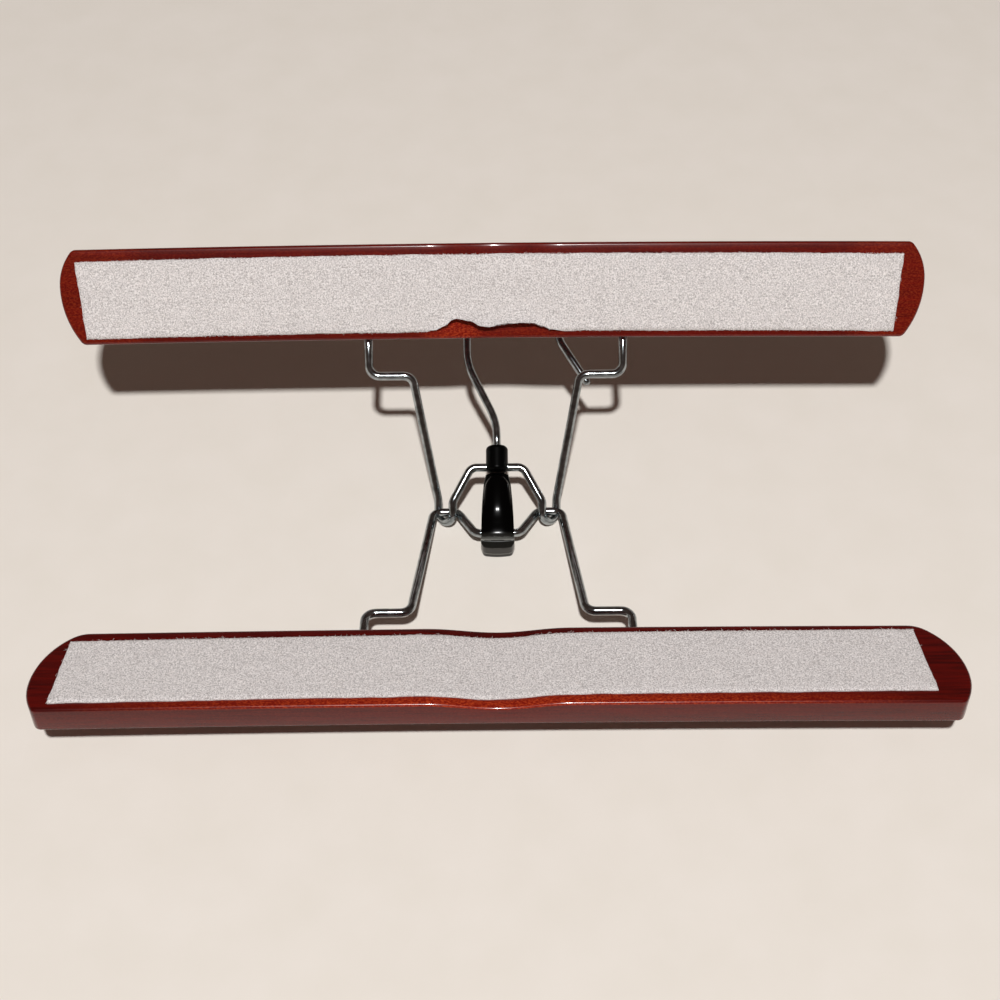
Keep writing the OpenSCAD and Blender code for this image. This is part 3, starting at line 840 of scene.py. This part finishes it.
# Painted highlights on crest, foot rim, side rims and shoulders; the grey lip is rubbed and
# painted sheen
LIP_FROM, LIP_GROWS, CREST_FROM, CREST_TO, END_FROM = -28.4, 3.2, -32.2, -33.3, -34
LIP_WEAR_AND_SHEEN, EDGE_HIGHLIGHT, BELOW_CREST_GREY, END_GREY = 0.8, 1.0, 0.42, 0.36
FOOT_BLACK, FOOT_RIM_TOP = 3.0, 3.8  # below the first height the end is black, up to the second a painted highlight runs along its rim
RIM_HIGHLIGHT, RIM_W, SHOULDER_Y, SHOULDER_SOFT, RIM_FROM_LIP = 0.8, 0.7, -11, 5, 0.3


def wear_and_highlight_share(x, y, z):
    """Rubbed grey lip with painted sheen, and painted highlights on its crest, rims and shoulders.
    """
    rim = max(0, 1 - (section(y, HALF_WIDTH) - abs(x)) / RIM_W)
    foot = z - ground_below(y)
    lip = LIP_WEAR_AND_SHEEN * clamp((LIP_FROM - y) / LIP_GROWS)
    if y < END_FROM:
        lip = 0.0 if foot < FOOT_BLACK else EDGE_HIGHLIGHT if foot < FOOT_RIM_TOP else END_GREY
    elif y < CREST_FROM:
        lip = EDGE_HIGHLIGHT if y > CREST_TO else BELOW_CREST_GREY
    shoulder = clamp((y - SHOULDER_Y) / SHOULDER_SOFT) * rim
    return max(lip, RIM_HIGHLIGHT * rim * (lip > RIM_FROM_LIP), RIM_HIGHLIGHT * shoulder)


def make_lever():
    bm = bmesh.new()
    bmesh.ops.create_grid(bm, x_segments=LEVER_COLUMNS, y_segments=LEVER_ROWS, size=0.5)
    start, end = LEVER_STATIONS[0][0], -LEVER_L
    for vert in bm.verts:
        y = start + (end - start) * (vert.co.y + 0.5)
        corner = max(0, CORNER_R - (y - end))
        half = section(y, HALF_WIDTH)
        half -= CORNER_R - math.sqrt(max(0, CORNER_R ** 2 - corner * corner))
        x = 2 * vert.co.x * half
        bow = END_BOW * max(0, 1 - (y - end) / END_BOW_W) * (1 - (x / END_HALF) ** 2)
        vert.co = Vector((x, y - bow, lever_height(x, y)))
    made = bmesh.ops.extrude_face_region(bm, geom=bm.faces[:])
    low = {g for g in made["geom"] if isinstance(g, bmesh.types.BMVert)}
    walls = [e for e in bm.edges if (e.verts[0] in low) != (e.verts[1] in low)]
    for vert in low:
        y = max(end, min(start, vert.co.y))
        vert.co.y -= FOOT_IN * max(0, 1 - (y - end) / FOOT_IN_W)
        vert.co.z = max(section(y, UNDERSIDE), ground_below(vert.co.y))
    bmesh.ops.subdivide_edges(bm, edges=walls, cuts=WALL_CUTS, use_grid_fill=True)
    centres = {f: f.calc_center_median() for f in bm.faces if all(v in low for v in f.verts)}
    roof = [f for f, at in centres.items()
            if abs(at.x) < ROOM_HALF and ROOM_FROM < at.y < ROOM_TO]
    made = bmesh.ops.extrude_face_region(bm, geom=roof)
    for g in made["geom"]:
        if isinstance(g, bmesh.types.BMVert):
            g.co.z = min(ROOM_TOP, lever_height(g.co.x, g.co.y) - SHELL)
    bmesh.ops.delete(bm, geom=roof, context="FACES")
    wear_and_highlights = bm.verts.layers.float.new("wear_and_highlights")
    for vert in bm.verts:
        vert[wear_and_highlights] = wear_and_highlight_share(*vert.co)
    bm.normal_update()
    rim = [e for e in bm.edges if len(e.link_faces) == 2 and e.calc_face_angle(0) > SHARP]
    bmesh.ops.bevel(bm, geom=rim, offset=LEVER_EDGE_R, offset_type="OFFSET", affect="EDGES",
                    segments=3, profile=0.5, material=-1, clamp_overlap=True)
    finish(bm, "lever_body", ON_LEVER, "lever", LEVER_BLACK, ["lock_lever"], angle=50)


make_lever()


# %% [markdown]
# The collar is turned from a profile, like a bottle: a spin of its outline about the hook's axis.
# A groove across its underside snaps over the front wire when the hanger is shut.

# %% Collar
COLLAR_R, COLLAR_UP, COLLAR_DOWN, COLLAR_ROUND, COLLAR_N = 4.65, 8.8, 2.4, 1.7, 1.2
MOUTH_R, MOUTH_RIM_R, MOUTH_DEEP = 1.9, 2.1, 0.5
ARC_STEPS, COLLAR_STEPS = 6, 64
SIDE_TOP, SIDE_STEP, SIDE_ROWS = 6.85, 0.25, 32  # rows close together, for the groove to show
FOOT_RIM = [(COLLAR_R, -1.2), (COLLAR_R - 0.4, -2.1), (COLLAR_R - 1.2, -COLLAR_DOWN)]
LATCH_Y, LATCH_N, LATCH_R = 5.97, -3.1, 2.2


def make_collar():
    bm = bmesh.new()
    mouth = COLLAR_UP - MOUTH_DEEP
    outline = [(0, mouth), (MOUTH_R, mouth), (MOUTH_RIM_R, COLLAR_UP)]
    for i in range(ARC_STEPS + 1):
        a = math.pi / 2 * (1 - i / ARC_STEPS)
        outline.append((COLLAR_R - COLLAR_ROUND * (1 - math.cos(a)),
                        COLLAR_UP - COLLAR_ROUND * (1 - math.sin(a))))
    outline += [(COLLAR_R, SIDE_TOP - SIDE_STEP * i) for i in range(SIDE_ROWS)]
    outline += FOOT_RIM + [(0, -COLLAR_DOWN)]
    verts = [bm.verts.new((x, y, 0)) for x, y in outline]
    edges = [bm.edges.new(pair) for pair in zip(verts, verts[1:])]
    bmesh.ops.spin(bm, geom=verts + edges, cent=(0, 0, 0), axis=(0, 1, 0), angle=2 * math.pi,
                   steps=COLLAR_STEPS, use_merge=True)
    bmesh.ops.translate(bm, vec=(0, 0, COLLAR_N), verts=bm.verts)
    for vert in bm.verts:
        off = abs(vert.co.y - LATCH_Y)
        if off < LATCH_R:
            vert.co.z = max(vert.co.z, LATCH_N + math.sqrt(LATCH_R ** 2 - off ** 2))
    finish(bm, "collar_barrel", ON_LEVER, "lever", COLLAR_BLACK, ["hook_collar"],
           angle=50)


make_collar()


# %% [markdown]
# The table is a large warm white plane, painted, with a faint mottle. The light is one small lamp
# high above the near side, where the sun stood, so shadows have a narrow soft edge. The sky is
# dim and warm, and pale along the horizon, which chrome and lacquer reflect.

# %% Table and light
MOTTLE_MM = 25.0
TABLE_HALF_M = 3
LAMP_SIZE, LAMP_WATTS, LAMP_AWAY, LAMP_WAY = 0.14, 82, 3.0, (0.0, -0.42, 1.0)


def make_table():
    material, tree, shader, place = new_material(
        "painted table top, warm white", in_Roughness=0.8, in_Specular_IOR_Level=0.2)
    mottle = add(tree, "ShaderNodeTexNoise", [(place, "Vector")],
                 in_Scale=1000 / MOTTLE_MM, in_Detail=4.0)
    tone = add(tree, "ShaderNodeValToRGB", [(mottle.outputs["Fac"], "Fac")],
               stops=[(0.3, "#e8e1d7"), (0.7, "#ebe4db")])
    tree.links.new(tone.outputs[0], shader.inputs["Base Color"])
    bm = bmesh.new()
    bmesh.ops.create_grid(bm, x_segments=1, y_segments=1, size=TABLE_HALF_M)
    mesh = bpy.data.meshes.new("table")
    bm.to_mesh(mesh)
    bm.free()
    table = bpy.data.objects.new("table", mesh)
    bpy.context.collection.objects.link(table)
    table.data.materials.append(material)


def make_light():
    lamp = bpy.data.lights.new("key", "AREA")
    lamp.size = LAMP_SIZE
    lamp.energy = LAMP_WATTS
    light = bpy.data.objects.new("key", lamp)
    aim = Vector(LAMP_WAY).normalized()
    light.location = aim * LAMP_AWAY
    light.rotation_euler = aim.to_track_quat("Z", "Y").to_euler()
    bpy.context.collection.objects.link(light)


def make_sky():
    world = bpy.data.worlds.new("sky")
    world.use_nodes = True
    tree = world.node_tree
    place = add(tree, "ShaderNodeTexCoord")
    height = add(tree, "ShaderNodeSeparateXYZ", [(place.outputs["Generated"], "Vector")])
    glow = add(tree, "ShaderNodeValToRGB", [(height.outputs["Z"], "Fac")],
               stops=[(0.0, "#ece5dc"), (0.12, "#8f7f74"), (0.35, "#4f423c"), (0.7, "#4d3e38")])
    tree.links.new(glow.outputs[0], tree.nodes["Background"].inputs["Color"])
    bpy.context.scene.world = world


make_table()
make_light()
make_sky()
bpy.context.scene.view_settings.view_transform = "Standard"
print("lamp of", LAMP_WATTS, "W at", LAMP_AWAY, "m")
